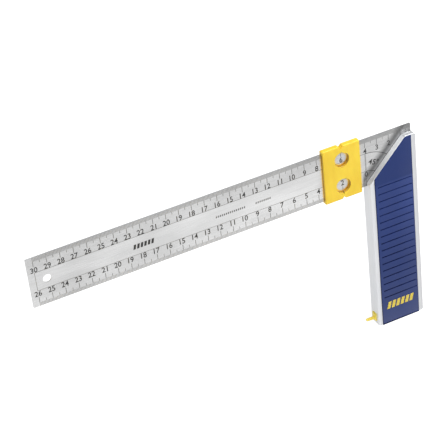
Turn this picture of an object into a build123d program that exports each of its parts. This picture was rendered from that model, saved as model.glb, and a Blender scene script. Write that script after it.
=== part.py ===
"""Try and mitre square with a fixed 30 cm rule blade, a marking slider and a pull-out foot.

Millimetres. The origin is the inner corner, where the stock's inner face meets the blade's
inner edge, in the blade's middle plane. +X runs from the inner corner into the stock, +Y to
the back of the square and +Z up the stock, towards the blade's outer edge.
"""
import os

from build123d import *

# Driving dimensions of the rule blade
BLADE_WIDTH = 40.0
BLADE_THICKNESS = 1.2
SCALE_LENGTH = 300.0
BLADE_END_PAST_SCALE = 5.0
BLADE_END_COVER = 1.2
HANG_HOLE_RADIUS = 3.2
HANG_HOLE_FROM_END = 13.3
BLADE_CORNER_RADIUS = 0.3

# Driving dimensions of the stock
STOCK_WIDTH = 40.0
STOCK_THICKNESS = 10.5
STOCK_LENGTH_BELOW_BLADE = 127.0
STOCK_TOP_BELOW_BLADE_EDGE = 6.2
MITRE_RISE_AT_INNER_FACE = 2.66
STOCK_CORNER_RADIUS = 2.0
MITRE_CORNER_RADIUS = 4.0
STOCK_EDGE_RADIUS = 0.4

# Grips, and the pockets that hold them
RAIL_WIDTH = 3.7
POCKET_DEPTH = 2.05
POCKET_WALL = 0.7
GRIP_GAP = 0.05
GRIP_PLATE_THICKNESS = 0.4
GRIP_PLATE_INSET = 0.15
GRIP_EDGE_RADIUS = 0.35
PEG_RADIUS = 2.0
PEG_HOLE_GAP = 0.05
PEG_LENGTH = 2.4
PEG_SPOTS = ((20.0, -9.0), (20.0, -56.0), (20.0, -104.0))

# Ribs across each grip
RIB_COUNT = 17
RIB_PITCH = 6.27
LOWEST_RIB_Z = -102.2
RIB_LEFT_X = 6.2
RIB_RIGHT_X = 35.0
RIB_GROOVE_WIDTH = 1.1
RIB_GROOVE_DEPTH = 0.6

# Rivets through stock and blade
RIVET_SHANK_RADIUS = 2.0
RIVET_HEAD_RADIUS = 3.2
RIVET_HEAD_DEPTH = 1.2
RIVET_SPOTS = ((14.0, 7.0), (31.0, 7.0), (31.0, 24.0))

# Marking slider
SLIDER_WIDTH = 30.8
SLIDER_CENTRE_X = -20.3
SLIDER_WALL = 2.4
SLIDER_FRONT_Y = -2.6
SLIDER_BACK_Y = 1.6
SLIDER_LIP = 7.0
SLIDER_SIDE_GAP = 0.1
SLIDER_EDGE_GAP = 0.05
SLIDER_FRONT_EDGE_RADIUS = 1.0
SLIDER_END_EDGE_RADIUS = 0.7
WINDOW_OFFSET_Z = 11.05
WINDOW_FRONT_RADIUS = 6.05
WINDOW_BACK_RADIUS = 5.8
INDEX_NOTCH_LENGTH = 1.4
INDEX_NOTCH_HALF_WIDTH = 0.8
PENCIL_NOTCH_DEPTH = 1.9
PENCIL_NOTCH_HALF_WIDTH = 1.9

# Leaf springs of the slider and the foot
LEAF_THICKNESS = 0.25
LEAF_RUNNING_GAP = 0.03
SLIDER_LEAF_SPAN = 22.0
SLIDER_LEAF_WIDTH = 5.0
SLIDER_LEAF_POCKET_DEPTH = 0.9
SLIDER_LEAF_SIDE_GAP = 0.05
FOOT_LEAF_SPAN = 11.0
FOOT_LEAF_WIDTH = 3.2
FOOT_LEAF_POCKET_DEPTH = 1.2
LEAF_END_GAP = 0.4

# Pull-out foot
FOOT_CENTRE_Z = -120.0
FOOT_HEIGHT = 7.0
FOOT_WIDTH = 4.9
FOOT_GAP = 0.05
FOOT_TRAVEL = 7.8
FOOT_FACE_X = -0.9
FOOT_INNER_END_X = 14.5
FOOT_TIP_X = -7.9
FOOT_BLOCK_RADIUS = 0.9
FINGER_TOP_Z = -119.9
FINGER_ROOT_HEIGHT = 2.8
FINGER_TIP_HEIGHT = 1.8
FINGER_TIP_RADIUS = 0.8
FOOT_PIN_RADIUS = 1.0
FOOT_PIN_X = 11.0
FOOT_PIN_HOLE_GAP = 0.05
FOOT_LEAF_CENTRE_X = 12.0

# How far a cutting shape runs past the surface that it cuts
CUT_MARGIN = 1.0

# Sizes worked out from the driving dimensions
HALF_BLADE = BLADE_THICKNESS / 2
HALF_STOCK = STOCK_THICKNESS / 2
FLOOR_Y = HALF_STOCK - POCKET_DEPTH
STOCK_TOP_Z = BLADE_WIDTH - STOCK_TOP_BELOW_BLADE_EDGE
STOCK_BOTTOM_Z = -STOCK_LENGTH_BELOW_BLADE
MITRE_TOP_X = STOCK_TOP_Z - MITRE_RISE_AT_INNER_FACE
BLADE_LEFT_X = STOCK_WIDTH - SCALE_LENGTH - BLADE_END_PAST_SCALE
BLADE_RIGHT_X = STOCK_WIDTH - BLADE_END_COVER
GRIP_FACE_Y = HALF_STOCK + GRIP_PLATE_THICKNESS
SLIDER_MIDDLE_Z = BLADE_WIDTH / 2


def flat(points):
    """Flat closed shape through (X, Z) corners, still lying in the sketch plane."""
    return make_face(Polyline(*points, close=True))


def box_shape(x_low, x_high, z_low, z_high):
    """Flat rectangle between two X and two Z values."""
    return flat([(x_low, z_low), (x_high, z_low), (x_high, z_high), (x_low, z_high)])


def round_corner(shape, corner, radius):
    """Round the corner of a flat shape that lies nearest to (X, Z)."""
    vertex = shape.vertices().sort_by_distance((corner[0], corner[1], 0))[0]
    return fillet(vertex, radius)


def slab(shape, y_low, y_high):
    """Solid that a flat shape sweeps from y_low to y_high, front to back."""
    upright = Plane.XZ * shape
    return extrude(Pos(0, y_low, 0) * upright, y_high - y_low, dir=(0, 1, 0))


def rod(x, z, radius, y_low, y_high):
    """Round rod along Y."""
    return slab(Pos(x, z) * Circle(radius), y_low, y_high)


def taper(x, z, y_start, radius_start, y_end, radius_end):
    """Cone frustum along Y, from one radius to the other."""
    start = Pos(0, y_start, 0) * (Plane.XZ * (Pos(x, z) * Circle(radius_start)))
    end = Pos(0, y_end, 0) * (Plane.XZ * (Pos(x, z) * Circle(radius_end)))
    return loft([start.face(), end.face()])


def bowed_leaf(span, rise):
    """Flat outline of a bowed strip: ends at height 0, outside of the crown at -rise."""
    half = span / 2
    outer = ThreePointArc((-half, 0), (0, -rise), (half, 0))
    inner = ThreePointArc((half, LEAF_THICKNESS), (0, LEAF_THICKNESS - rise), (-half, LEAF_THICKNESS))
    right_end = Line((half, 0), (half, LEAF_THICKNESS))
    left_end = Line((-half, LEAF_THICKNESS), (-half, 0))
    return make_face([outer, right_end, inner, left_end])


def stock_outline():
    """Side view of the stock: square lower end, upper end cut at 45 degrees."""
    mitre_top = (MITRE_TOP_X, STOCK_TOP_Z)
    outer_top = (STOCK_WIDTH, STOCK_TOP_Z)
    outer_bottom = (STOCK_WIDTH, STOCK_BOTTOM_Z)
    inner_bottom = (0, STOCK_BOTTOM_Z)
    shape = flat([inner_bottom, outer_bottom, outer_top, mitre_top, (0, MITRE_RISE_AT_INNER_FACE)])
    shape = round_corner(shape, mitre_top, MITRE_CORNER_RADIUS)
    for corner in (outer_top, outer_bottom, inner_bottom):
        shape = round_corner(shape, corner, STOCK_CORNER_RADIUS)
    return shape


def insert_outline(side_inset, end_inset, bottom_z):
    """Flat shape inside the stock's outline: side_inset from its long sides, end_inset from its upper end."""
    left = side_inset
    right = STOCK_WIDTH - side_inset
    top = STOCK_TOP_Z - end_inset
    mitre_rise = MITRE_RISE_AT_INNER_FACE - end_inset * 2**0.5
    mitre_top = (top - mitre_rise, top)
    shape = flat([(left, bottom_z), (right, bottom_z), (right, top), mitre_top, (left, left + mitre_rise)])
    return round_corner(shape, mitre_top, MITRE_CORNER_RADIUS - end_inset)


def make_rivet(x, z):
    """Solid rivet whose two countersunk heads are set flush with the pocket floors."""
    shank = rod(x, z, RIVET_SHANK_RADIUS, -FLOOR_Y, FLOOR_Y)
    head_start = FLOOR_Y - RIVET_HEAD_DEPTH
    front = taper(x, z, -FLOOR_Y, RIVET_HEAD_RADIUS, -head_start, RIVET_SHANK_RADIUS)
    back = taper(x, z, head_start, RIVET_SHANK_RADIUS, FLOOR_Y, RIVET_HEAD_RADIUS)
    return shank + front + back


def make_rivets():
    """The three rivets, as separate solids."""
    return [make_rivet(x, z) for x, z in RIVET_SPOTS]


def foot_cavity():
    """Room in the stock for the foot, its travel and its leaf spring."""
    half_width = FOOT_WIDTH / 2
    low = FOOT_CENTRE_Z - FOOT_HEIGHT / 2
    high = FOOT_CENTRE_Z + FOOT_HEIGHT / 2
    depth = FOOT_INNER_END_X + FOOT_TRAVEL + LEAF_END_GAP
    channel = slab(box_shape(-CUT_MARGIN, depth, low, high), -half_width, half_width)
    half_leaf = FOOT_LEAF_SPAN / 2 + LEAF_END_GAP
    leaf_left = FOOT_LEAF_CENTRE_X - half_leaf
    leaf_right = FOOT_LEAF_CENTRE_X + half_leaf
    leaf_room = box_shape(leaf_left, leaf_right, high - CUT_MARGIN, high + FOOT_LEAF_POCKET_DEPTH)
    return channel + slab(leaf_room, -half_width, half_width)


def make_stock(rivets):
    """Aluminium stock: blade slot, grip pockets, peg holes, rivet holes and foot cavity."""
    stock = slab(stock_outline(), -HALF_STOCK, HALF_STOCK)
    stock = fillet(stock.faces().filter_by(Axis.Y).edges(), STOCK_EDGE_RADIUS)
    pocket = insert_outline(RAIL_WIDTH, POCKET_WALL, STOCK_BOTTOM_Z - CUT_MARGIN)
    stock -= slab(pocket, -HALF_STOCK - CUT_MARGIN, -FLOOR_Y)
    stock -= slab(pocket, FLOOR_Y, HALF_STOCK + CUT_MARGIN)
    blade_slot = box_shape(-CUT_MARGIN, BLADE_RIGHT_X, 0, BLADE_WIDTH)
    stock -= slab(blade_slot, -HALF_BLADE, HALF_BLADE)
    stock -= foot_cavity()
    stock -= rod(FOOT_PIN_X, FOOT_CENTRE_Z, FOOT_PIN_RADIUS, -FLOOR_Y, FLOOR_Y)
    for x, z in PEG_SPOTS:
        stock -= rod(x, z, PEG_RADIUS + PEG_HOLE_GAP, -FLOOR_Y, FLOOR_Y)
    for rivet in rivets:
        stock -= rivet
    return stock


def make_blade(rivets):
    """Rule blade with its hanging hole and its rivet holes."""
    shape = box_shape(BLADE_LEFT_X, BLADE_RIGHT_X, 0, BLADE_WIDTH)
    shape = fillet(shape.vertices(), BLADE_CORNER_RADIUS)
    blade = slab(shape, -HALF_BLADE, HALF_BLADE)
    hole_x = BLADE_LEFT_X + HANG_HOLE_FROM_END
    blade -= rod(hole_x, BLADE_WIDTH / 2, HANG_HOLE_RADIUS, -BLADE_THICKNESS, BLADE_THICKNESS)
    for rivet in rivets:
        blade -= rivet
    return blade


def rib_groove(z, face_y):
    """Sawtooth groove across the grip's face: steep upper wall, long lower slope."""
    top = z + RIB_GROOVE_WIDTH / 2
    bottom = z - RIB_GROOVE_WIDTH / 2
    deepest = z + RIB_GROOVE_WIDTH / 4
    outside_y = face_y - CUT_MARGIN
    root = (face_y + RIB_GROOVE_DEPTH, deepest)
    profile = flat([(outside_y, top), (face_y, top), root, (face_y, bottom), (outside_y, bottom)])
    groove = extrude(Plane.YZ * profile, RIB_RIGHT_X - RIB_LEFT_X)
    return Pos(RIB_LEFT_X, 0, 0) * groove


def make_front_grip():
    """Ribbed moulded insert: a body in the pocket, a thin plate over the stock's face, and three pegs."""
    side_inset = RAIL_WIDTH + GRIP_GAP
    plate = slab(insert_outline(side_inset, GRIP_PLATE_INSET, STOCK_BOTTOM_Z), -GRIP_FACE_Y, -HALF_STOCK)
    face_edges = plate.faces().sort_by(Axis.Y)[0].edges()
    rim = face_edges.filter_by(lambda edge: edge.center().Z > STOCK_BOTTOM_Z + CUT_MARGIN)
    plate = fillet(rim, GRIP_EDGE_RADIUS)
    body = slab(insert_outline(side_inset, POCKET_WALL + GRIP_GAP, STOCK_BOTTOM_Z), -HALF_STOCK, -FLOOR_Y)
    grip = plate + body
    for number in range(RIB_COUNT):
        grip -= rib_groove(LOWEST_RIB_Z + number * RIB_PITCH, -GRIP_FACE_Y)
    for x, z in PEG_SPOTS:
        grip += rod(x, z, PEG_RADIUS, -FLOOR_Y, PEG_LENGTH - FLOOR_Y)
    return grip


def pencil_notch(edge_z, inwards):
    """V notch through the slider's wall at its middle, cut from edge_z."""
    half = PENCIL_NOTCH_HALF_WIDTH
    apex = (SLIDER_CENTRE_X, edge_z + inwards * PENCIL_NOTCH_DEPTH)
    left = (SLIDER_CENTRE_X - half, edge_z)
    right = (SLIDER_CENTRE_X + half, edge_z)
    outside = edge_z - inwards
    shape = flat([left, apex, right, (right[0], outside), (left[0], outside)])
    return slab(shape, SLIDER_FRONT_Y - CUT_MARGIN, SLIDER_BACK_Y + CUT_MARGIN)


def window(z, outwards):
    """Reading window, slightly narrower at the blade, with a pointed index notch on its outer side."""
    hole = taper(SLIDER_CENTRE_X, z, SLIDER_FRONT_Y, WINDOW_FRONT_RADIUS, -HALF_BLADE, WINDOW_BACK_RADIUS)
    tip_z = z + outwards * (WINDOW_FRONT_RADIUS + INDEX_NOTCH_LENGTH)
    left = SLIDER_CENTRE_X - INDEX_NOTCH_HALF_WIDTH
    right = SLIDER_CENTRE_X + INDEX_NOTCH_HALF_WIDTH
    root_z = z + outwards * (WINDOW_BACK_RADIUS - CUT_MARGIN)
    pointer = flat([(left, root_z), (right, root_z), (SLIDER_CENTRE_X, tip_z)])
    return hole + slab(pointer, SLIDER_FRONT_Y, -HALF_BLADE)


def make_slider():
    """Moulded gauge that wraps round the blade: front plate, end walls and two rear lips."""
    left = SLIDER_CENTRE_X - SLIDER_WIDTH / 2
    right = SLIDER_CENTRE_X + SLIDER_WIDTH / 2
    bottom = -SLIDER_WALL
    top = BLADE_WIDTH + SLIDER_WALL
    slider = slab(box_shape(left, right, bottom, top), SLIDER_FRONT_Y, SLIDER_BACK_Y)
    front_edges = slider.faces().sort_by(Axis.Y)[0].edges()
    slider = fillet(front_edges.filter_by(Axis.Z), SLIDER_FRONT_EDGE_RADIUS)
    front_edges = slider.faces().sort_by(Axis.Y)[0].edges()
    slider = fillet(front_edges.filter_by(Axis.X), SLIDER_END_EDGE_RADIUS)
    cut_left = left - CUT_MARGIN
    cut_right = right + CUT_MARGIN
    channel = box_shape(cut_left, cut_right, -SLIDER_EDGE_GAP, BLADE_WIDTH + SLIDER_EDGE_GAP)
    slider -= slab(channel, -HALF_BLADE - SLIDER_SIDE_GAP, HALF_BLADE + SLIDER_SIDE_GAP)
    back_opening = box_shape(cut_left, cut_right, bottom + SLIDER_LIP, top - SLIDER_LIP)
    slider -= slab(back_opening, HALF_BLADE, SLIDER_BACK_Y + CUT_MARGIN)
    slider -= window(SLIDER_MIDDLE_Z + WINDOW_OFFSET_Z, 1)
    slider -= window(SLIDER_MIDDLE_Z - WINDOW_OFFSET_Z, -1)
    slider -= pencil_notch(top, -1)
    slider -= pencil_notch(bottom, 1)
    return slider - slider_leaf_pocket()


def slider_leaf_pocket():
    """Shallow pocket for the leaf in the slider's front plate, between the windows."""
    half_span = SLIDER_LEAF_SPAN / 2 + LEAF_END_GAP
    half_width = SLIDER_LEAF_WIDTH / 2 + SLIDER_LEAF_SIDE_GAP
    shape = box_shape(SLIDER_CENTRE_X - half_span, SLIDER_CENTRE_X + half_span,
                      SLIDER_MIDDLE_Z - half_width, SLIDER_MIDDLE_Z + half_width)
    front = -HALF_BLADE - SLIDER_SIDE_GAP - SLIDER_LEAF_POCKET_DEPTH
    return slab(shape, front, 0)


def make_slider_spring():
    """Bowed leaf whose crown bears on the blade's front face."""
    pocket_floor = HALF_BLADE + SLIDER_SIDE_GAP + SLIDER_LEAF_POCKET_DEPTH
    rise = pocket_floor - LEAF_THICKNESS - HALF_BLADE - LEAF_RUNNING_GAP
    leaf = extrude(bowed_leaf(SLIDER_LEAF_SPAN, rise), SLIDER_LEAF_WIDTH / 2, both=True)
    turned = Rot(0, 0, 180) * leaf
    return Pos(SLIDER_CENTRE_X, LEAF_THICKNESS - pocket_floor, SLIDER_MIDDLE_Z) * turned


def make_foot():
    """Foot: a block that slides in the stock, with a thin finger level with the blade."""
    low = FOOT_CENTRE_Z - FOOT_HEIGHT / 2 + FOOT_GAP
    high = FOOT_CENTRE_Z + FOOT_HEIGHT / 2 - FOOT_GAP
    half_width = FOOT_WIDTH / 2 - FOOT_GAP
    block = box_shape(FOOT_FACE_X, FOOT_INNER_END_X, low, high)
    foot = slab(fillet(block.vertices(), FOOT_BLOCK_RADIUS), -half_width, half_width)
    foot += slab(finger_outline(), -HALF_BLADE, HALF_BLADE)
    slot_radius = FOOT_PIN_RADIUS + FOOT_PIN_HOLE_GAP
    slot_left = FOOT_PIN_X - FOOT_TRAVEL
    foot -= rod(slot_left, FOOT_CENTRE_Z, slot_radius, -half_width, half_width)
    foot -= rod(FOOT_PIN_X, FOOT_CENTRE_Z, slot_radius, -half_width, half_width)
    between = box_shape(slot_left, FOOT_PIN_X, FOOT_CENTRE_Z - slot_radius, FOOT_CENTRE_Z + slot_radius)
    return foot - slab(between, -half_width, half_width)


def finger_outline():
    """Side view of the foot's finger: level on top, tapering below towards a round tip."""
    root_x = FOOT_FACE_X + FOOT_BLOCK_RADIUS
    tip_top = (FOOT_TIP_X, FINGER_TOP_Z)
    tip_bottom = (FOOT_TIP_X, FINGER_TOP_Z - FINGER_TIP_HEIGHT)
    root_bottom = (root_x, FINGER_TOP_Z - FINGER_ROOT_HEIGHT)
    shape = flat([tip_top, tip_bottom, root_bottom, (root_x, FINGER_TOP_Z)])
    for corner in (tip_top, tip_bottom):
        shape = round_corner(shape, corner, FINGER_TIP_RADIUS)
    return shape


def make_foot_pin():
    """Cross pin pressed into the stock, through the foot's long hole."""
    return rod(FOOT_PIN_X, FOOT_CENTRE_Z, FOOT_PIN_RADIUS, -FLOOR_Y, FLOOR_Y)


def make_foot_spring():
    """Bowed leaf above the foot whose crown bears on the foot's upper side."""
    ceiling = FOOT_CENTRE_Z + FOOT_HEIGHT / 2 + FOOT_LEAF_POCKET_DEPTH
    foot_top = FOOT_CENTRE_Z + FOOT_HEIGHT / 2 - FOOT_GAP
    ends_z = ceiling - LEAF_THICKNESS
    rise = ends_z - foot_top - LEAF_RUNNING_GAP
    leaf = Pos(FOOT_LEAF_CENTRE_X, ends_z) * bowed_leaf(FOOT_LEAF_SPAN, rise)
    return slab(leaf, -FOOT_LEAF_WIDTH / 2, FOOT_LEAF_WIDTH / 2)


def build_all():
    """Every node of the square, by name."""
    rivets = make_rivets()
    front_grip = make_front_grip()
    return {
        "stock": make_stock(rivets),
        "blade": make_blade(rivets),
        "blade_rivets": Compound(children=rivets),
        "front_grip": front_grip,
        "rear_grip": mirror(front_grip, about=Plane.XZ),
        "slider": make_slider(),
        "slider_spring": make_slider_spring(),
        "foot": make_foot(),
        "foot_pin": make_foot_pin(),
        "foot_spring": make_foot_spring(),
    }


os.makedirs("parts", exist_ok=True)
for node, solid in build_all().items():
    export_step(solid, f"parts/{node}.step")
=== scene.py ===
"""Looks of the try and mitre square: etched scales, printed emblems, materials, floor, light and camera.

Everything is in metres, in the frame of the CAD model: the origin is the inner corner, the
blade runs to -X with its edges at Z 0 and Z 40 mm, and the front of the square faces -Y.
"""

import math

import bmesh
import bpy
from mathutils import Matrix, Vector


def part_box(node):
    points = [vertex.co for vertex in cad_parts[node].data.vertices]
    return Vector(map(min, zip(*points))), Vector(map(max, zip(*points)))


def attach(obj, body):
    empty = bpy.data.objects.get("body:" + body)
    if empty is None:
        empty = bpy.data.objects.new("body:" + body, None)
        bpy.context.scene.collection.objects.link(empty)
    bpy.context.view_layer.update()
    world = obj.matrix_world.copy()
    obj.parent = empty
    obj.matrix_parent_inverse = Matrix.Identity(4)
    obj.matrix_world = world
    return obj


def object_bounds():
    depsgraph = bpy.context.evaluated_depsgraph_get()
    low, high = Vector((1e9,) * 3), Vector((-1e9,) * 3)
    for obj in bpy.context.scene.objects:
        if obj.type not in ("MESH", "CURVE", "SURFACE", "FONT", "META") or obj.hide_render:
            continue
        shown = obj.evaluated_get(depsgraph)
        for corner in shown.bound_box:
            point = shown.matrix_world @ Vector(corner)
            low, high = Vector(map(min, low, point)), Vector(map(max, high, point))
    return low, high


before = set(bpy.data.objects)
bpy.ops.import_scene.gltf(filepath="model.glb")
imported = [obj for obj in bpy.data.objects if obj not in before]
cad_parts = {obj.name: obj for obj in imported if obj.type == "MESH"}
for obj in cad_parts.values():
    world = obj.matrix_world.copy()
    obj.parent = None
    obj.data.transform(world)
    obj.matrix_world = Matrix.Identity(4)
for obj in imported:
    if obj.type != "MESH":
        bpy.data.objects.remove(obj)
cad_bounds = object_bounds()

MM = 0.001
FRONT = -1
REAR = 1

# Places that come from the frame
blade_low, blade_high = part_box("blade")
stock_low, stock_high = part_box("stock")
grip_low, grip_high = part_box("front_grip")
BLADE_MIDDLE_Z = (blade_low.z + blade_high.z) / 2
BLADE_FACE = blade_high.y
GRIP_FACE = -grip_low.y
OUTER_ZERO_X = stock_high.x
INNER_ZERO_X = stock_low.x

# Scales on the blade
CENTIMETRE = 10 * MM
OUTER_LAST_CM = 30
INNER_LAST_CM = 26
FIRST_SHOWN_CM = 2
MM_TICK_LENGTH = 3.0 * MM
MM_TICK_WIDTH = 0.25 * MM
HALF_TICK_LENGTH = 5.1 * MM
HALF_TICK_WIDTH = 0.32 * MM
CM_TICK_LENGTH = 7.3 * MM
CM_TICK_WIDTH = 0.4 * MM
TICK_END_GAP = 1.0 * MM
INNER_LINE_FROM_EDGE = 12.75 * MM
OUTER_LINE_FROM_EDGE = 12.3 * MM
LONG_LINE_WIDTH = 0.27 * MM
CORNER_LINE_WIDTH = 1.0 * MM
CORNER_ARC_WIDTH = 0.42 * MM
CORNER_ARC_STEPS = 24
SCALE_LEFT_X = INNER_ZERO_X - INNER_LAST_CM * CENTIMETRE
INNER_LINE_Z = blade_low.z + INNER_LINE_FROM_EDGE
OUTER_LINE_Z = blade_high.z - OUTER_LINE_FROM_EDGE

# Numbers on the blade
NUMERAL_HEIGHT = 4.35 * MM
NUMERAL_STRETCH = 0.92
NUMERAL_BOLDNESS = 0.014
OUTER_NUMERAL_Z = blade_high.z - 10.0 * MM
INNER_NUMERAL_Z = blade_low.z + 10.3 * MM
ANGLE_TEXT_HEIGHT = 4.8 * MM
ANGLE_TEXT_PLACE = (6.6 * MM, 18.7 * MM)
ANGLE_TEXT_TURN = math.radians(22.5)

# Markings stand a little proud of the faces they are on, and reach a little into them
INK_PROUD = 0.015 * MM
INK_DEPTH = 0.06 * MM
PAINT_PROUD = 0.12 * MM
PAINT_DEPTH = 0.3 * MM
PAINT_ROUNDING = 0.1 * MM

# Plain rows of slanted bars and dashes in place of any mark
EMBLEM_BARS = 6
GRIP_EMBLEM_WIDTH = 24 * MM
GRIP_EMBLEM_HEIGHT = 6.2 * MM
GRIP_EMBLEM_SLANT = 1.6 * MM
GRIP_EMBLEM_BAR = 2.7 * MM
GRIP_EMBLEM_RISE = 13.4 * MM
BLADE_EMBLEM_LEFT_X = -187.0 * MM
BLADE_EMBLEM_HEIGHT = 3.8 * MM
BLADE_EMBLEM_DROP = 2.4 * MM
BLADE_EMBLEM_BAR = 1.8 * MM
BLADE_EMBLEM_GAP = 0.95 * MM
BLADE_EMBLEM_SLANT = 0.8 * MM
DASH_ROWS = ((-122.6 * MM, 15), (-90.8 * MM, 8))
DASH_DROP = 1.1 * MM
DASH_HEIGHT = 1.5 * MM
DASH_WIDTH = 0.9 * MM
DASH_GAP = 0.7 * MM
DASH_SLANT = 0.3 * MM

# Height above the inner corner at which the stock's mitre starts
MITRE_RISE = 2.66 * MM

# Painted light on the grip's ribbed part, which starts level with the inner corner
RIBS_TOP_BLUR = 1.0 * MM
RIB_LIFT = 0.4

# Studio, with the camera's angles in degrees and its lens in millimetres
FLOOR_HALF_SIZE = 6.0
KEY_PLACE = (0.95, -0.85, 2.1)
KEY_SIZE = 1.4
KEY_POWER = 70
FILL_PLACE = (-1.54, -0.88, 1.5)
FILL_SIZE = 1.2
FILL_POWER = 17
CAMERA_AZIMUTH = -23.01
CAMERA_ELEVATION = 33.78
CAMERA_ROLL = -6.74
CAMERA_DISTANCE = 1.2903
CAMERA_LENS = 146.07
CAMERA_AIM = Vector((-0.11657, 0, 0.01152))


# ---------------------------------------------------------------- mesh helpers

def finish_mesh(bm, name, body, material):
    """Turn a bmesh into a flat-shaded piece that rides on a CAD body and takes its finish from a slot."""
    bmesh.ops.recalc_face_normals(bm, faces=bm.faces)
    mesh = bpy.data.meshes.new(name)
    bm.to_mesh(mesh)
    bm.free()
    for face in mesh.polygons:
        face.use_smooth = False
    mesh.materials.append(material)
    piece = bpy.data.objects.new(name, mesh)
    bpy.context.scene.collection.objects.link(piece)
    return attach(piece, body)


def add_prism(bm, outline, side, face_y, proud, depth):
    """Closed thin plate: an (x, z) outline on the front or rear face, standing proud and sunk by depth."""
    outer = [bm.verts.new((x, side * (face_y + proud), z)) for x, z in outline]
    inner = [bm.verts.new((x, side * (face_y - depth), z)) for x, z in outline]
    bm.faces.new(outer)
    bm.faces.new(list(reversed(inner)))
    count = len(outline)
    for start in range(count):
        end = (start + 1) % count
        bm.faces.new((outer[start], inner[start], inner[end], outer[end]))


def add_ink_bar(bm, side, x_low, x_high, z_low, z_high):
    """Thin etched bar on the blade."""
    outline = [(x_low, z_low), (x_high, z_low), (x_high, z_high), (x_low, z_high)]
    add_prism(bm, outline, side, BLADE_FACE, INK_PROUD, INK_DEPTH)


def add_ink_arc(bm, side, radius, start_angle, end_angle, width):
    """Thin etched arc about the inner corner."""
    inner_r = radius - width / 2
    outer_r = radius + width / 2
    step = (end_angle - start_angle) / CORNER_ARC_STEPS
    angles = [start_angle + step * n for n in range(CORNER_ARC_STEPS + 1)]
    rings = []
    for angle in angles:
        corners = [(r, d) for r in (inner_r, outer_r) for d in (INK_PROUD, -INK_DEPTH)]
        ring = [arc_corner(bm, side, angle, r, depth) for r, depth in corners]
        rings.append([ring[0], ring[1], ring[3], ring[2]])
    for first, second in zip(rings, rings[1:]):
        for start in range(4):
            end = (start + 1) % 4
            bm.faces.new((first[start], first[end], second[end], second[start]))
    bm.faces.new(rings[0])
    bm.faces.new(list(reversed(rings[-1])))


def arc_corner(bm, side, angle, radius, proud):
    """One corner of an arc's section, at an angle and radius from the inner corner."""
    x = INNER_ZERO_X + radius * math.cos(angle)
    return bm.verts.new((x, side * (BLADE_FACE + proud), radius * math.sin(angle)))


# ---------------------------------------------------------------- blade scales

def tick_places(zero_x, last_cm):
    """Every millimetre of a scale that is on the blade, with its place along it."""
    places = [(millimetre, zero_x - millimetre * MM) for millimetre in range(last_cm * 10 + 1)]
    return [(millimetre, x) for millimetre, x in places if x <= blade_high.x - TICK_END_GAP]


def add_tick(bm, side, x, edge_z, ends, width):
    """One tick, between two signed distances from an edge of the blade."""
    low_z, high_z = sorted(edge_z + end for end in ends)
    add_ink_bar(bm, side, x - width / 2, x + width / 2, low_z, high_z)


def add_short_ticks(bm, side, zero_x, last_cm, edge_z, inwards):
    """The part that all ticks along one edge have in common."""
    for _, x in tick_places(zero_x, last_cm):
        add_tick(bm, side, x, edge_z, (0, inwards * MM_TICK_LENGTH), MM_TICK_WIDTH)


def add_long_ticks(bm, side, zero_x, last_cm, edge_z, inwards):
    """What the half and whole centimetre ticks along one edge add to the common part."""
    for millimetre, x in tick_places(zero_x, last_cm):
        if millimetre % 10 == 0:
            ends = (inwards * MM_TICK_LENGTH, inwards * CM_TICK_LENGTH)
            add_tick(bm, side, x, edge_z, ends, CM_TICK_WIDTH)
        elif millimetre % 5 == 0:
            ends = (inwards * MM_TICK_LENGTH, inwards * HALF_TICK_LENGTH)
            add_tick(bm, side, x, edge_z, ends, HALF_TICK_WIDTH)


def make_ticks(side, name, add_ticks, material):
    """Ticks along both edges of one face of the blade, of the kind that a function adds."""
    bm = bmesh.new()
    add_ticks(bm, side, OUTER_ZERO_X, OUTER_LAST_CM, blade_high.z, -1)
    add_ticks(bm, side, INNER_ZERO_X, INNER_LAST_CM, blade_low.z, 1)
    return finish_mesh(bm, name, "square", material)


def make_scale_lines(side, name, material):
    """Long lines and end line on one face of the blade."""
    bm = bmesh.new()
    half = LONG_LINE_WIDTH / 2
    for z in (INNER_LINE_Z, OUTER_LINE_Z):
        add_ink_bar(bm, side, SCALE_LEFT_X, INNER_ZERO_X, z - half, z + half)
    add_ink_bar(bm, side, SCALE_LEFT_X - half, SCALE_LEFT_X + half, INNER_LINE_Z, OUTER_LINE_Z)
    return finish_mesh(bm, name, "square", material)


def make_corner_arcs(side, name, material):
    """Two arcs about the inner corner, from the long lines to the mitre, on one face of the blade."""
    bm = bmesh.new()
    for z in (INNER_LINE_Z, OUTER_LINE_Z):
        add_ink_arc(bm, side, z - blade_low.z, math.pi / 4, math.pi / 2, CORNER_ARC_WIDTH)
    return finish_mesh(bm, name, "square", material)


def make_corner_line(side, name, material):
    """Broad pale line across the blade, level with the stock's inner face."""
    bm = bmesh.new()
    half = CORNER_LINE_WIDTH / 2
    add_ink_bar(bm, side, INNER_ZERO_X - half, INNER_ZERO_X + half, INNER_LINE_Z, OUTER_LINE_Z)
    return finish_mesh(bm, name, "square", material)


def text_mesh(text):
    """Flat filled mesh of a short text, in font units."""
    curve = bpy.data.curves.new("numeral", "FONT")
    curve.body = text
    curve.resolution_u = 4
    curve.offset = NUMERAL_BOLDNESS
    holder = bpy.data.objects.new("numeral", curve)
    bpy.context.scene.collection.objects.link(holder)
    evaluated = holder.evaluated_get(bpy.context.evaluated_depsgraph_get())
    mesh = bpy.data.meshes.new_from_object(evaluated)
    bpy.data.objects.remove(holder)
    bpy.data.curves.remove(curve)
    return mesh


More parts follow.
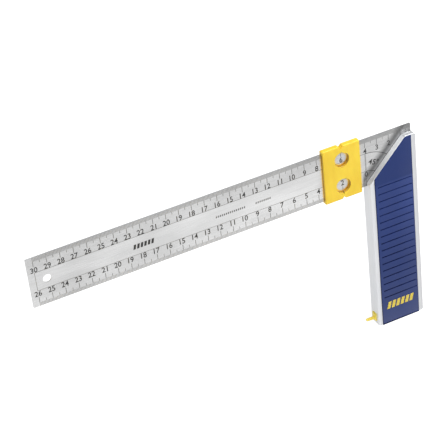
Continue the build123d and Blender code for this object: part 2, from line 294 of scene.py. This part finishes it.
def text_solid(text, height, thickness):
    """Raised text centred on the origin in X and Y, of a height and thickness."""
    mesh = text_mesh(text)
    solid = bmesh.new()
    solid.from_mesh(mesh)
    bpy.data.meshes.remove(mesh)
    xs = [v.co.x for v in solid.verts]
    ys = [v.co.y for v in solid.verts]
    scale = height / (max(ys) - min(ys))
    middle = Vector(((max(xs) + min(xs)) / 2, (max(ys) + min(ys)) / 2, 0))
    bmesh.ops.remove_doubles(solid, verts=solid.verts, dist=1e-5)
    bmesh.ops.translate(solid, verts=solid.verts, vec=-middle)
    bmesh.ops.scale(solid, verts=solid.verts, vec=(scale, scale, scale))
    walls = bmesh.ops.extrude_face_region(solid, geom=solid.faces[:])
    raised = [item for item in walls["geom"] if isinstance(item, bmesh.types.BMVert)]
    bmesh.ops.translate(solid, verts=raised, vec=(0, 0, thickness))
    return solid


def upright_on_face(side, centre):
    """Placement that stands flat text up on one face of the blade, with its middle at (x, z)."""
    stand = Matrix.Rotation(math.pi / 2, 4, "X")
    if side == REAR:
        stand = Matrix.Rotation(math.pi, 4, "Z") @ stand
    start_y = side * (BLADE_FACE - INK_DEPTH)
    return Matrix.Translation((centre[0], start_y, centre[1])) @ stand


def add_text(bm, text, side, centre, height, stretch, turn):
    """Etched text, centred at (x, z) on one face of the blade and turned anticlockwise by an angle."""
    solid = text_solid(text, height, INK_PROUD + INK_DEPTH)
    spin = Matrix.Rotation(turn, 4, "Z")
    widen = Matrix.Diagonal((stretch, 1, 1, 1))
    solid.transform(upright_on_face(side, centre) @ spin @ widen)
    carrier = bpy.data.meshes.new("numeral")
    solid.to_mesh(carrier)
    solid.free()
    bm.from_mesh(carrier)
    bpy.data.meshes.remove(carrier)


def make_numerals(side, name, material):
    """Centimetre numbers of both scales and the 45 degree mark, on one face of the blade."""
    bm = bmesh.new()
    for number in range(FIRST_SHOWN_CM, OUTER_LAST_CM + 1):
        spot = (OUTER_ZERO_X - number * CENTIMETRE, OUTER_NUMERAL_Z)
        add_text(bm, str(number), side, spot, NUMERAL_HEIGHT, NUMERAL_STRETCH, 0)
    for number in range(INNER_LAST_CM + 1):
        spot = (INNER_ZERO_X - number * CENTIMETRE, INNER_NUMERAL_Z)
        add_text(bm, str(number), side, spot, NUMERAL_HEIGHT, NUMERAL_STRETCH, 0)
    add_text(bm, "45°", side, ANGLE_TEXT_PLACE, ANGLE_TEXT_HEIGHT, 1, side * ANGLE_TEXT_TURN)
    return finish_mesh(bm, name, "square", material)


# ---------------------------------------------------------------- emblems

def slanted_bars(left, bottom, bar_width, gap, height, slant, count):
    """Outlines of a row of equal slanted bars."""
    outlines = []
    for n in range(count):
        x = left + n * (bar_width + gap)
        lower = [(x, bottom), (x + bar_width, bottom)]
        upper = [(x + bar_width + slant, bottom + height), (x + slant, bottom + height)]
        outlines.append(lower + upper)
    return outlines


def make_grip_emblem(side, name, material):
    """Plain row of raised slanted bars near the lower end of a grip."""
    bm = bmesh.new()
    left = (grip_low.x + grip_high.x - GRIP_EMBLEM_WIDTH) / 2
    bottom = grip_low.z + GRIP_EMBLEM_RISE
    spare = GRIP_EMBLEM_WIDTH - GRIP_EMBLEM_SLANT - EMBLEM_BARS * GRIP_EMBLEM_BAR
    gap = spare / (EMBLEM_BARS - 1)
    sizes = (GRIP_EMBLEM_BAR, gap, GRIP_EMBLEM_HEIGHT, GRIP_EMBLEM_SLANT)
    for outline in slanted_bars(left, bottom, *sizes, EMBLEM_BARS):
        add_prism(bm, outline, side, GRIP_FACE, PAINT_PROUD, PAINT_DEPTH)
    top_edges = [e for e in bm.edges if all(abs(v.co.y) > GRIP_FACE for v in e.verts)]
    bmesh.ops.bevel(bm, geom=top_edges, offset=PAINT_ROUNDING, segments=2, affect="EDGES", profile=0.5)
    return finish_mesh(bm, name, "square", material)


def make_blade_emblem(side, name, material):
    """Plain row of etched slanted bars along the middle of the blade."""
    bm = bmesh.new()
    bottom = BLADE_MIDDLE_Z - BLADE_EMBLEM_DROP
    sizes = (BLADE_EMBLEM_BAR, BLADE_EMBLEM_GAP, BLADE_EMBLEM_HEIGHT, BLADE_EMBLEM_SLANT)
    for outline in slanted_bars(BLADE_EMBLEM_LEFT_X, bottom, *sizes, EMBLEM_BARS):
        add_prism(bm, outline, side, BLADE_FACE, INK_PROUD, INK_DEPTH)
    return finish_mesh(bm, name, "square", material)


def make_blade_dashes(side, name, material):
    """Two faint rows of short slanted dashes along the middle of the blade."""
    bm = bmesh.new()
    bottom = BLADE_MIDDLE_Z - DASH_DROP
    sizes = (DASH_WIDTH, DASH_GAP, DASH_HEIGHT, DASH_SLANT)
    for left, count in DASH_ROWS:
        for outline in slanted_bars(left, bottom, *sizes, count):
            add_prism(bm, outline, side, BLADE_FACE, INK_PROUD, INK_DEPTH)
    return finish_mesh(bm, name, "square", material)


# ---------------------------------------------------------------- material helpers

def new_material(name):
    """Node material with its tree and its Principled shader."""
    material = bpy.data.materials.new(name)
    material.use_nodes = True
    tree = material.node_tree
    return material, tree, tree.nodes["Principled BSDF"]


def add_node(tree, kind, **inputs):
    """Node of a kind, with values or links for its inputs by name."""
    node = tree.nodes.new(kind)
    for key, value in inputs.items():
        socket = node.inputs[key.replace("_", " ")]
        if isinstance(value, bpy.types.NodeSocket):
            tree.links.new(value, socket)
        else:
            socket.default_value = value
    return node


def stretched_noise(tree, stretch, scale, detail=4.0, roughness=0.55):
    """Noise over the object's own metres, stretched by a factor along each axis."""
    place = tree.nodes.new("ShaderNodeTexCoord")
    mapping = tree.nodes.new("ShaderNodeMapping")
    mapping.inputs["Scale"].default_value = stretch
    tree.links.new(place.outputs["Object"], mapping.inputs["Vector"])
    noise = add_node(tree, "ShaderNodeTexNoise", Vector=mapping.outputs["Vector"], Scale=scale, Detail=detail)
    noise.inputs["Roughness"].default_value = roughness
    return noise.outputs["Fac"]


def remap(tree, value, low, high, new_low, new_high):
    """Linear change of range of a value, clamped."""
    node = add_node(tree, "ShaderNodeMapRange", Value=value)
    node.inputs["From Min"].default_value = low
    node.inputs["From Max"].default_value = high
    node.inputs["To Min"].default_value = new_low
    node.inputs["To Max"].default_value = new_high
    return node.outputs["Result"]


def mix_colors(tree, factor, first, second, blend="MIX"):
    """Mix two colours by a factor."""
    node = tree.nodes.new("ShaderNodeMix")
    node.data_type = "RGBA"
    node.blend_type = blend
    for socket, value in ((node.inputs[0], factor), (node.inputs[6], first), (node.inputs[7], second)):
        if isinstance(value, bpy.types.NodeSocket):
            tree.links.new(value, socket)
        else:
            socket.default_value = value
    return node.outputs[2]


def multiplied(tree, first, second):
    """Product of two colours or levels."""
    return mix_colors(tree, 1.0, first, second, "MULTIPLY")


def bump(tree, height, strength, distance, normal=None):
    """Bump from a height value, over an optional normal."""
    node = add_node(tree, "ShaderNodeBump", Height=height, Strength=strength, Distance=distance)
    if normal is not None:
        tree.links.new(normal, node.inputs["Normal"])
    return node.outputs["Normal"]


def rounded_edges(tree, radius):
    """Normal that rounds sharp edges by a radius."""
    node = tree.nodes.new("ShaderNodeBevel")
    node.samples = 4
    node.inputs["Radius"].default_value = radius
    return node.outputs["Normal"]


def object_axes(tree):
    """The three object coordinates, in metres."""
    place = tree.nodes.new("ShaderNodeTexCoord")
    split = tree.nodes.new("ShaderNodeSeparateXYZ")
    tree.links.new(place.outputs["Object"], split.inputs["Vector"])
    return split.outputs["X"], split.outputs["Y"], split.outputs["Z"]


def openness(tree, distance, low, high):
    """How open the surroundings are within a distance: 0 in tight corners, 1 in the open."""
    node = tree.nodes.new("ShaderNodeAmbientOcclusion")
    node.inputs["Distance"].default_value = distance
    node.samples = 8
    return remap(tree, node.outputs["AO"], low, high, 0, 1)


def math_node(tree, operation, first, second):
    """Result of a two-value operation."""
    node = tree.nodes.new("ShaderNodeMath")
    node.operation = operation
    for socket, value in zip(node.inputs, (first, second)):
        if isinstance(value, bpy.types.NodeSocket):
            tree.links.new(value, socket)
        else:
            socket.default_value = value
    return node.outputs["Value"]


def connect(tree, value, shader, name):
    """Link a socket to one of a shader's inputs, by name."""
    tree.links.new(value, shader.inputs[name])


def grey(level):
    """Neutral colour of one level."""
    return (level, level, level, 1)


# ---------------------------------------------------------------- materials

def off_middle(tree):
    """Distance from the blade's middle line, in metres."""
    z = object_axes(tree)[2]
    return math_node(tree, "ABSOLUTE", math_node(tree, "SUBTRACT", z, BLADE_MIDDLE_Z), 0)


def slider_shade(tree):
    """Painted shade on the blade near the slider: grey in its windows, and a painted amber reflection of its
    walls close to them.
    """
    windows = remap(tree, openness(tree, 7 * MM, 0.42, 0.98), 0, 1, 0.66, 1.0)
    return mix_colors(tree, openness(tree, 2.8 * MM, 0.70, 0.84), (1.4, 0.92, 0.05, 1), windows)


def stock_shade(tree, x, z):
    """Shade on the blade near the stock: a dark band beside the mitre and a darker line at the joint."""
    along_mitre = math_node(tree, "SUBTRACT", z, math_node(tree, "ADD", x, MITRE_RISE))
    from_mitre = math_node(tree, "MULTIPLY", along_mitre, math.sqrt(0.5))
    distance = math_node(tree, "MAXIMUM", from_mitre, math_node(tree, "SUBTRACT", INNER_ZERO_X, x))
    falling = remap(tree, distance, 1.2 * MM, 3.0 * MM, 0.58, 0.31)
    rising = remap(tree, distance, 4.2 * MM, 8.8 * MM, 0, 0.57)
    band = math_node(tree, "ADD", falling, rising)
    joint = remap(tree, openness(tree, 1.2 * MM, 0.5, 0.9), 0, 1, 0.15, 1.0)
    return math_node(tree, "MULTIPLY", band, joint)


def contact_shade(tree):
    """Colour by which the blade darkens near the slider and the stock, to the eye only."""
    x, _, z = object_axes(tree)
    near_stock = remap(tree, x, INNER_ZERO_X - 4 * MM, INNER_ZERO_X - 2 * MM, 0, 1)
    shade = mix_colors(tree, near_stock, slider_shade(tree), stock_shade(tree, x, z))
    seen = tree.nodes.new("ShaderNodeLightPath").outputs["Is Camera Ray"]
    return mix_colors(tree, seen, grey(1), shade)


def brushed_tone(tree, fine):
    """Grey of the brushed steel: fine and coarse streaks under slow clouds."""
    coarse = stretched_noise(tree, (0.05, 1, 1), 700, 3)
    cloud = stretched_noise(tree, (0.35, 1, 1), 45, 2)
    tone = mix_colors(tree, remap(tree, fine, 0.3, 0.7, 0, 1), grey(0.62), grey(0.74))
    tone = mix_colors(tree, remap(tree, coarse, 0.35, 0.65, 0, 0.5), tone, grey(0.77))
    return mix_colors(tree, remap(tree, cloud, 0.4, 0.62, 0, 0.7), tone, grey(0.56))


def with_satin_scales(tree, tone):
    """The tone with satin, mottled zones under both scales, the outer one darker by painted shade."""
    mottle = remap(tree, stretched_noise(tree, (1, 1, 1), 1100, 3), 0.35, 0.65, 0, 1)
    outwards = remap(tree, object_axes(tree)[2], blade_low.z, blade_high.z, 0, 1)
    inner_satin = mix_colors(tree, mottle, grey(0.97), grey(1.05))
    shaded_outer_satin = mix_colors(tree, mottle, grey(0.80), grey(0.87))
    satin = mix_colors(tree, outwards, inner_satin, shaded_outer_satin)
    zone = remap(tree, off_middle(tree), 7.2 * MM, 7.8 * MM, 0, 1)
    return mix_colors(tree, zone, tone, multiplied(tree, tone, satin))


def with_tick_bands(tree, tone):
    """The tone with darker bands behind the millimetre ticks, as far as the inner scale reaches."""
    x, _, z = object_axes(tree)
    # Painted shade: the bands grow darker towards the blade's upper edge.
    level = remap(tree, z, blade_low.z, blade_high.z, 0.92, 0.82)
    near_edge = remap(tree, off_middle(tree), 16.7 * MM, 17.0 * MM, 0, 1)
    on_scale = remap(tree, x, SCALE_LEFT_X - 0.1 * MM, SCALE_LEFT_X + 0.1 * MM, 0, 1)
    band = math_node(tree, "MULTIPLY", near_edge, on_scale)
    level = math_node(tree, "MULTIPLY", level, remap(tree, x, -140 * MM, -60 * MM, 1, 0.95))
    return mix_colors(tree, band, tone, multiplied(tree, tone, level))


def lengthwise_level(tree):
    """Painted light along the blade: highest in its middle, lower at both ends."""
    x = object_axes(tree)[0]
    rising = remap(tree, x, -220 * MM, -150 * MM, 0.99, 1.08)
    falling = remap(tree, x, -60 * MM, -35 * MM, 1, 0.95)
    return math_node(tree, "MULTIPLY", rising, falling)


def brushed_blade():
    """Stainless rule steel brushed along the blade: painted light in its middle, satin scale bands, painted
    shade in tight corners.
    """
    material, tree, shader = new_material("brushed_rule_steel")
    fine = stretched_noise(tree, (0.02, 1, 1), 4200, 3)
    tone = with_tick_bands(tree, with_satin_scales(tree, brushed_tone(tree, fine)))
    tone = multiplied(tree, tone, lengthwise_level(tree))
    connect(tree, multiplied(tree, tone, contact_shade(tree)), shader, "Base Color")
    shader.inputs["Metallic"].default_value = 0.9
    connect(tree, remap(tree, fine, 0.3, 0.7, 0.34, 0.26), shader, "Roughness")
    connect(tree, bump(tree, fine, 0.12, 0.02 * MM), shader, "Normal")
    return material


def etched_ink():
    """Dark etched marking with a slightly uneven fill."""
    material, tree, shader = new_material("etched_marking")
    patch = stretched_noise(tree, (1, 1, 1), 1800, 3)
    tone = mix_colors(tree, remap(tree, patch, 0.35, 0.7, 0, 1), grey(0.018), grey(0.05))
    connect(tree, tone, shader, "Base Color")
    connect(tree, remap(tree, patch, 0.3, 0.7, 0.75, 0.5), shader, "Roughness")
    shader.inputs["Metallic"].default_value = 0.2
    return material


def pale_ink(name, dark, light):
    """Lighter etched marking between two grey levels, for lines finer than the numbers."""
    material, tree, shader = new_material(name)
    patch = stretched_noise(tree, (1, 1, 1), 900, 3)
    tone = mix_colors(tree, remap(tree, patch, 0.35, 0.7, 0, 1), grey(dark), grey(light))
    connect(tree, tone, shader, "Base Color")
    shader.inputs["Roughness"].default_value = 0.6
    shader.inputs["Metallic"].default_value = 0.4
    return material


def upward_shade(tree):
    """Painted shade on the stock's mitre and top, where they see the blade; the mitre clears upwards into
    painted light.
    """
    facing = tree.nodes.new("ShaderNodeSeparateXYZ")
    surface = tree.nodes.new("ShaderNodeNewGeometry")
    tree.links.new(surface.outputs["True Normal"], facing.inputs["Vector"])
    lean = facing.outputs["Z"]
    z = object_axes(tree)[2]
    mitre = remap(tree, z, stock_high.z - 20 * MM, stock_high.z - 8 * MM, 0.76, 1.16)
    top = grey(0.78)
    sloping = mix_colors(tree, remap(tree, lean, 0.75, 0.95, 0, 1), mitre, top)
    return mix_colors(tree, remap(tree, lean, 0.3, 0.5, 0, 1), grey(1), sloping)


def sideways_level(tree):
    """Painted light and shade across the stock: a little brighter at its inner side, darker on its outer
    rail.
    """
    x = object_axes(tree)[0]
    inner = remap(tree, x, stock_low.x, stock_low.x + 3 * MM, 1.06, 1)
    outer = remap(tree, x, stock_high.x - 4 * MM, stock_high.x - 0.5 * MM, 1, 0.87)
    return math_node(tree, "MULTIPLY", inner, outer)


def drawn_aluminium():
    """Anodised extruded aluminium with faint drawing lines along its length, painted light and shade across
    it and painted shade on its mitre and top.
    """
    material, tree, shader = new_material("anodised_aluminium")
    lines = stretched_noise(tree, (1, 1, 0.01), 2600, 3)
    grain = stretched_noise(tree, (1, 1, 1), 5200, 2)
    haze = stretched_noise(tree, (1, 1, 0.3), 90, 2)
    tone = mix_colors(tree, remap(tree, lines, 0.3, 0.7, 0, 1), (0.67, 0.68, 0.70, 1), (0.76, 0.77, 0.79, 1))
    tone = mix_colors(tree, remap(tree, haze, 0.4, 0.6, 0, 0.25), tone, (0.74, 0.74, 0.74, 1))
    tone = multiplied(tree, tone, sideways_level(tree))
    connect(tree, multiplied(tree, tone, upward_shade(tree)), shader, "Base Color")
    shader.inputs["Metallic"].default_value = 0.65
    connect(tree, remap(tree, lines, 0.3, 0.7, 0.4, 0.5), shader, "Roughness")
    edges = rounded_edges(tree, 0.25 * MM)
    relief = bump(tree, lines, 0.08, 0.02 * MM, edges)
    connect(tree, bump(tree, grain, 0.06, 0.01 * MM, relief), shader, "Normal")
    return material


def grip_skin(tree, texture):
    """Blue of the grip's skin, slightly cloudy."""
    deep = (0.012, 0.031, 0.142, 1)
    bright = (0.018, 0.039, 0.168, 1)
    worn = (0.026, 0.042, 0.14, 1)
    cloud = stretched_noise(tree, (1, 1, 1), 45, 3)
    tone = mix_colors(tree, remap(tree, texture, 0.3, 0.7, 0, 1), deep, bright)
    return mix_colors(tree, remap(tree, cloud, 0.35, 0.7, 0, 0.3), tone, worn)


def with_grooves(tree, tone, open_air):
    """The tone with painted shade in the grooves, which fades towards the grip's right side and upper end."""
    x, _, z = object_axes(tree)
    middle = (grip_low.x + grip_high.x) / 2
    fade_right = remap(tree, x, middle, grip_high.x, 0, 0.6)
    fade_up = remap(tree, z, -60 * MM, 0, 0, 0.55)
    fade = math_node(tree, "MAXIMUM", fade_right, fade_up)
    # Painted shade: a dark blue where the surroundings close in.
    groove = mix_colors(tree, fade, (0.001, 0.003, 0.03, 1), tone)
    return mix_colors(tree, open_air, groove, tone)


def with_dark_rim(tree, tone):
    """The tone with painted shade along the grip's two long edges."""
    middle = (grip_low.x + grip_high.x) / 2
    off_centre = math_node(tree, "ABSOLUTE", math_node(tree, "SUBTRACT", object_axes(tree)[0], middle), 0)
    edge = grip_high.x - middle
    rim = remap(tree, off_centre, edge - 1.0 * MM, edge - 0.3 * MM, 0, 0.6)
    return mix_colors(tree, rim, tone, (0.004, 0.009, 0.06, 1))


def with_lit_ribs(tree, tone):
    """The tone brightened in the upper part of the ribbed zone, most at its right side."""
    x, _, z = object_axes(tree)
    ribbed = remap(tree, z, -RIBS_TOP_BLUR, RIBS_TOP_BLUR, RIB_LIFT, 0)
    higher = remap(tree, z, -75 * MM, -20 * MM, 0, 1)
    rightwards = remap(tree, x, 20 * MM, 34 * MM, 0.4, 1)
    lift = math_node(tree, "MULTIPLY", ribbed, math_node(tree, "MULTIPLY", higher, rightwards))
    return multiplied(tree, tone, math_node(tree, "ADD", lift, 1))


def grip_sheen(tree):
    """Strength of the grip's pale sheen: highest near the foot, higher on the right than on the left."""
    x, _, z = object_axes(tree)
    near_foot = remap(tree, z, grip_low.z, -106 * MM, 0.32, 0)
    lower_ribs = remap(tree, z, -100 * MM, -72 * MM, 0.11, 0)
    ribbed = remap(tree, z, -RIBS_TOP_BLUR, RIBS_TOP_BLUR, 0.29, 0.2)
    rightwards = remap(tree, x, 22 * MM, 34 * MM, 0, 0.12)
    lower = math_node(tree, "ADD", near_foot, lower_ribs)
    return math_node(tree, "ADD", lower, math_node(tree, "ADD", ribbed, rightwards))


def moulded_grip():
    """Matte blue plastic with a fine spark-eroded texture, painted shade in the grooves and along the long
    edges, painted light on the ribs, and a sheen that makes it paler towards the foot.
    """
    material, tree, shader = new_material("moulded_blue_grip")
    texture = stretched_noise(tree, (1, 1, 1), 2400, 5, 0.6)
    open_air = openness(tree, 1.6 * MM, 0.78, 0.98)
    tone = with_grooves(tree, with_lit_ribs(tree, grip_skin(tree, texture)), open_air)
    connect(tree, with_dark_rim(tree, tone), shader, "Base Color")
    connect(tree, math_node(tree, "MULTIPLY", grip_sheen(tree), open_air), shader, "Specular IOR Level")
    connect(tree, remap(tree, texture, 0.3, 0.7, 0.5, 0.62), shader, "Roughness")
    edges = rounded_edges(tree, 0.3 * MM)
    connect(tree, bump(tree, texture, 0.22, 0.05 * MM, edges), shader, "Normal")
    return material


def moulded_yellow(name, shadow, deep, bright, glow):
    """Semi-gloss yellow plastic with faint flow marks, painted with a given colour in tight places except
    above the blade, and a painted glow of a given strength.
    """
    material, tree, shader = new_material(name)
    flow = stretched_noise(tree, (1, 1, 0.35), 120, 3)
    skin = stretched_noise(tree, (1, 1, 1), 3000, 3)
    tone = mix_colors(tree, remap(tree, flow, 0.35, 0.65, 0, 1), deep, bright)
    above_blade = remap(tree, object_axes(tree)[2], blade_high.z - 0.6 * MM, blade_high.z, 0, 1)
    lit = math_node(tree, "MAXIMUM", openness(tree, 6 * MM, 0.62, 0.95), above_blade)
    # Tight places take the shadow colour: painted shade on the slider and painted light on the foot.
    tone = mix_colors(tree, lit, shadow, tone)
    connect(tree, tone, shader, "Base Color")
    # Painted light: a faint glow in the plastic's own colour.
    connect(tree, tone, shader, "Emission Color")
    shader.inputs["Emission Strength"].default_value = glow
    connect(tree, remap(tree, skin, 0.3, 0.7, 0.33, 0.45), shader, "Roughness")
    shader.inputs["Subsurface Weight"].default_value = 0.08
    shader.inputs["Subsurface Radius"].default_value = (1.0, 0.45, 0.05)
    shader.inputs["Subsurface Scale"].default_value = 0.4 * MM
    edges = rounded_edges(tree, 0.2 * MM)
    connect(tree, bump(tree, skin, 0.05, 0.02 * MM, edges), shader, "Normal")
    return material


def printed_yellow():
    """Pad-printed yellow paint, slightly uneven."""
    material, tree, shader = new_material("printed_yellow")
    patch = stretched_noise(tree, (1, 1, 1), 1500, 4)
    tone = mix_colors(tree, remap(tree, patch, 0.35, 0.7, 0, 1), (0.68, 0.52, 0.05, 1), (0.82, 0.64, 0.09, 1))
    connect(tree, tone, shader, "Base Color")
    connect(tree, remap(tree, patch, 0.3, 0.7, 0.5, 0.38), shader, "Roughness")
    connect(tree, bump(tree, patch, 0.1, 0.02 * MM), shader, "Normal")
    return material


def plain_steel(name, level, roughness):
    """Ground or rolled steel of the small hidden pieces."""
    material, tree, shader = new_material(name)
    lines = stretched_noise(tree, (0.05, 1, 1), 3000, 3)
    tone = mix_colors(tree, remap(tree, lines, 0.3, 0.7, 0, 1), grey(level * 0.85), grey(level))
    connect(tree, tone, shader, "Base Color")
    shader.inputs["Metallic"].default_value = 1.0
    connect(tree, remap(tree, lines, 0.3, 0.7, roughness, roughness + 0.12), shader, "Roughness")
    connect(tree, bump(tree, lines, 0.1, 0.01 * MM), shader, "Normal")
    return material


def paint_nodes():
    """Give every CAD node a procedural material; only like pieces share one."""
    # Colours for tight places: amber painted shade on the slider, a paler painted light on the foot.
    amber = (0.46, 0.235, 0.004, 1)
    yellow_deep = (0.86, 0.58, 0.024, 1)
    yellow_bright = (0.94, 0.67, 0.036, 1)
    foot_recess_light = (1.0, 0.80, 0.15, 1)
    foot_deep = (0.85, 0.66, 0.07, 1)
    foot_bright = (0.88, 0.70, 0.08, 1)
    grip = moulded_grip()
    spring = plain_steel("spring_steel_strip", 0.6, 0.25)
    finishes = {
        "stock": drawn_aluminium(),
        "blade": brushed_blade(),
        "blade_rivets": plain_steel("rivet_steel_ground", 0.66, 0.3),
        "front_grip": grip,
        "rear_grip": grip,
        "slider": moulded_yellow("moulded_yellow_slider", amber, yellow_deep, yellow_bright, 0),
        "slider_spring": spring,
        # The foot glows faintly with painted light.
        "foot": moulded_yellow("moulded_yellow_foot", foot_recess_light, foot_deep, foot_bright, 0.08),
        "foot_pin": plain_steel("pin_steel_ground", 0.62, 0.22),
        "foot_spring": spring,
    }
    for name, material in finishes.items():
        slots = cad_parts[name].data.materials
        slots.clear()
        slots.append(material)


# ---------------------------------------------------------------- studio

def floor_material():
    """Pale floor with a faint speckle, aglow so that shadows on it stay faint."""
    material, tree, shader = new_material("pale_floor")
    speckle = stretched_noise(tree, (1, 1, 1), 300, 2)
    seen = tree.nodes.new("ShaderNodeLightPath").outputs["Is Camera Ray"]
    connect(tree, remap(tree, speckle, 0.3, 0.7, 0.21, 0.23), shader, "Base Color")
    shader.inputs["Roughness"].default_value = 0.9
    connect(tree, remap(tree, seen, 0, 1, 0.74, 1.0), shader, "Emission Strength")
    shader.inputs["Emission Color"].default_value = grey(1)
    return material


def make_floor():
    """Plain pale floor under the square."""
    bm = bmesh.new()
    bmesh.ops.create_grid(bm, x_segments=1, y_segments=1, size=FLOOR_HALF_SIZE)
    bmesh.ops.translate(bm, verts=bm.verts, vec=(0, 0, stock_low.z))
    mesh = bpy.data.meshes.new("floor")
    bm.to_mesh(mesh)
    bm.free()
    mesh.materials.append(floor_material())
    floor = bpy.data.objects.new("floor", mesh)
    bpy.context.scene.collection.objects.link(floor)


def make_area_light(name, place, aim, size, power):
    """Soft square light that points at a spot."""
    data = bpy.data.lights.new(name, "AREA")
    data.shape = "SQUARE"
    data.size = size
    data.energy = power
    light = bpy.data.objects.new(name, data)
    light.location = place
    light.rotation_mode = "QUATERNION"
    light.rotation_quaternion = (Vector(aim) - Vector(place)).to_track_quat("-Z", "Y")
    bpy.context.scene.collection.objects.link(light)


def make_world():
    """Studio surround: in mirrors bright overhead and behind, and only a faint light on dull surfaces."""
    world = bpy.data.worlds.new("studio")
    world.use_nodes = True
    tree = world.node_tree
    background = tree.nodes["Background"]
    direction = tree.nodes.new("ShaderNodeTexCoord")
    split = tree.nodes.new("ShaderNodeSeparateXYZ")
    tree.links.new(direction.outputs["Generated"], split.inputs["Vector"])
    overhead = remap(tree, split.outputs["Z"], 0.2, 0.6, 0.65, 0.9)
    behind = remap(tree, split.outputs["Y"], -0.8, 0.3, 0.6, 1.0)
    dull = tree.nodes.new("ShaderNodeLightPath").outputs["Is Diffuse Ray"]
    dimming = remap(tree, dull, 0, 1, 1, 0.12)
    mirrored = math_node(tree, "MULTIPLY", overhead, behind)
    tree.links.new(math_node(tree, "MULTIPLY", mirrored, dimming), background.inputs["Strength"])
    background.inputs["Color"].default_value = (0.97, 0.985, 1, 1)
    bpy.context.scene.world = world


def make_camera():
    """Long-lens camera at the upper left of the front, slightly rolled, for the main view."""
    data = bpy.data.cameras.new("camera")
    data.lens = CAMERA_LENS
    data.sensor_width = 36
    data.clip_start = 0.05
    data.clip_end = 30
    azimuth = math.radians(CAMERA_AZIMUTH)
    elevation = math.radians(CAMERA_ELEVATION)
    flat = math.cos(elevation)
    back = Vector((math.sin(azimuth) * flat, -math.cos(azimuth) * flat, math.sin(elevation)))
    camera = bpy.data.objects.new("camera", data)
    camera.rotation_mode = "QUATERNION"
    camera.location = CAMERA_AIM + back * CAMERA_DISTANCE
    level = (-back).to_track_quat("-Z", "Y").to_matrix()
    roll = Matrix.Rotation(math.radians(CAMERA_ROLL), 3, "Z")
    camera.rotation_quaternion = (level @ roll).to_quaternion()
    bpy.context.scene.collection.objects.link(camera)
    bpy.context.scene.camera = camera


def make_studio():
    """Floor, surround, lights and camera."""
    make_floor()
    make_world()
    make_camera()
    centre = (cad_bounds[0] + cad_bounds[1]) / 2
    make_area_light("key", KEY_PLACE, centre, KEY_SIZE, KEY_POWER)
    make_area_light("fill", FILL_PLACE, centre, FILL_SIZE, FILL_POWER)
    bpy.context.scene.view_settings.view_transform = "Standard"


def make_markings():
    """Scales, numbers and emblems on both faces of the blade and on both grips."""
    ink = etched_ink()
    fine_ink = pale_ink("etched_graduation", 0.11, 0.19)
    short_ink = pale_ink("etched_short_graduation", 0.23, 0.31)
    faint_ink = pale_ink("etched_faint_marking", 0.3, 0.42)
    paint = printed_yellow()
    for side, word in ((FRONT, "front"), (REAR, "rear")):
        make_ticks(side, f"blade_long_ticks_{word}", add_long_ticks, fine_ink)
        make_ticks(side, f"blade_short_ticks_{word}", add_short_ticks, short_ink)
        make_scale_lines(side, f"blade_scale_lines_{word}", fine_ink)
        make_numerals(side, f"blade_numerals_{word}", ink)
        make_corner_arcs(side, f"blade_corner_arcs_{word}", ink)
        make_corner_line(side, f"blade_corner_line_{word}", faint_ink)
        make_blade_emblem(side, f"blade_emblem_{word}", ink)
        make_blade_dashes(side, f"blade_dashes_{word}", fine_ink)
        make_grip_emblem(side, f"grip_emblem_{word}", paint)


paint_nodes()
make_markings()
make_studio()
